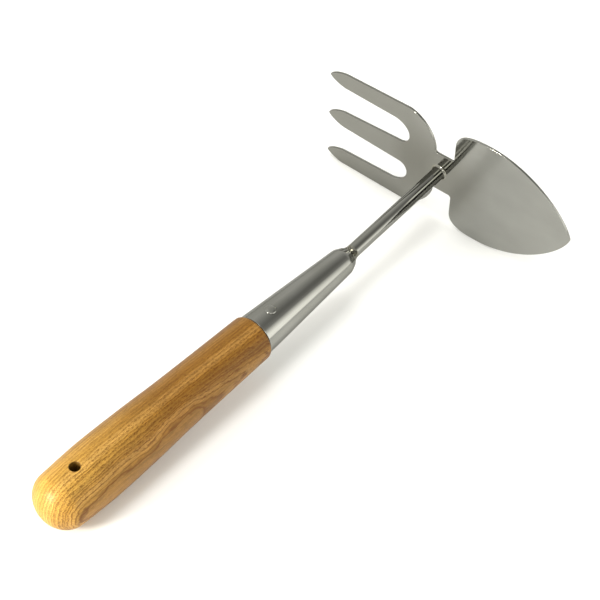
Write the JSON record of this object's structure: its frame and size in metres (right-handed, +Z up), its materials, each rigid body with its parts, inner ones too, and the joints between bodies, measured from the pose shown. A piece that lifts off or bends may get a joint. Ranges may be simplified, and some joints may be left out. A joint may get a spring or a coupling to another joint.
{
  "type": "hoe rake",
  "caption": "Hand-held hoe rake with a tined fork and a pointed hoe blade in one steel plate, on a round shank set in a tapered ferrule with a turned wooden grip.",
  "frame": {"origin": "centre of the bounding box on the ground, with the tool lying as pictured on its grip, the blade's lower edge and the lower tine", "axes": "+X runs along the tool from the grip to the head, +Y is the fork's side and -Y the hoe blade's side, +Z is up"},
  "size_m": [0.3202, 0.1676, 0.0742],
  "materials": {
    "ash": "oiled ash",
    "socket_steel": "polished bare stainless steel",
    "rivet_steel": "ground flush-looking rivet head",
    "shank_steel": "polished bare stainless steel",
    "weld_steel": "ground and polished weld",
    "plate_steel": "polished bare stainless steel"
  },
  "bodies": {
    "root": {"wood_handle": "ash", "handle_socket": "socket_steel", "socket_rivet": "rivet_steel", "shank_rod": "shank_steel", "socket_weld": "weld_steel", "head_weld": "weld_steel", "hoe_rake_head": "plate_steel"}
  },
  "joints": []
}
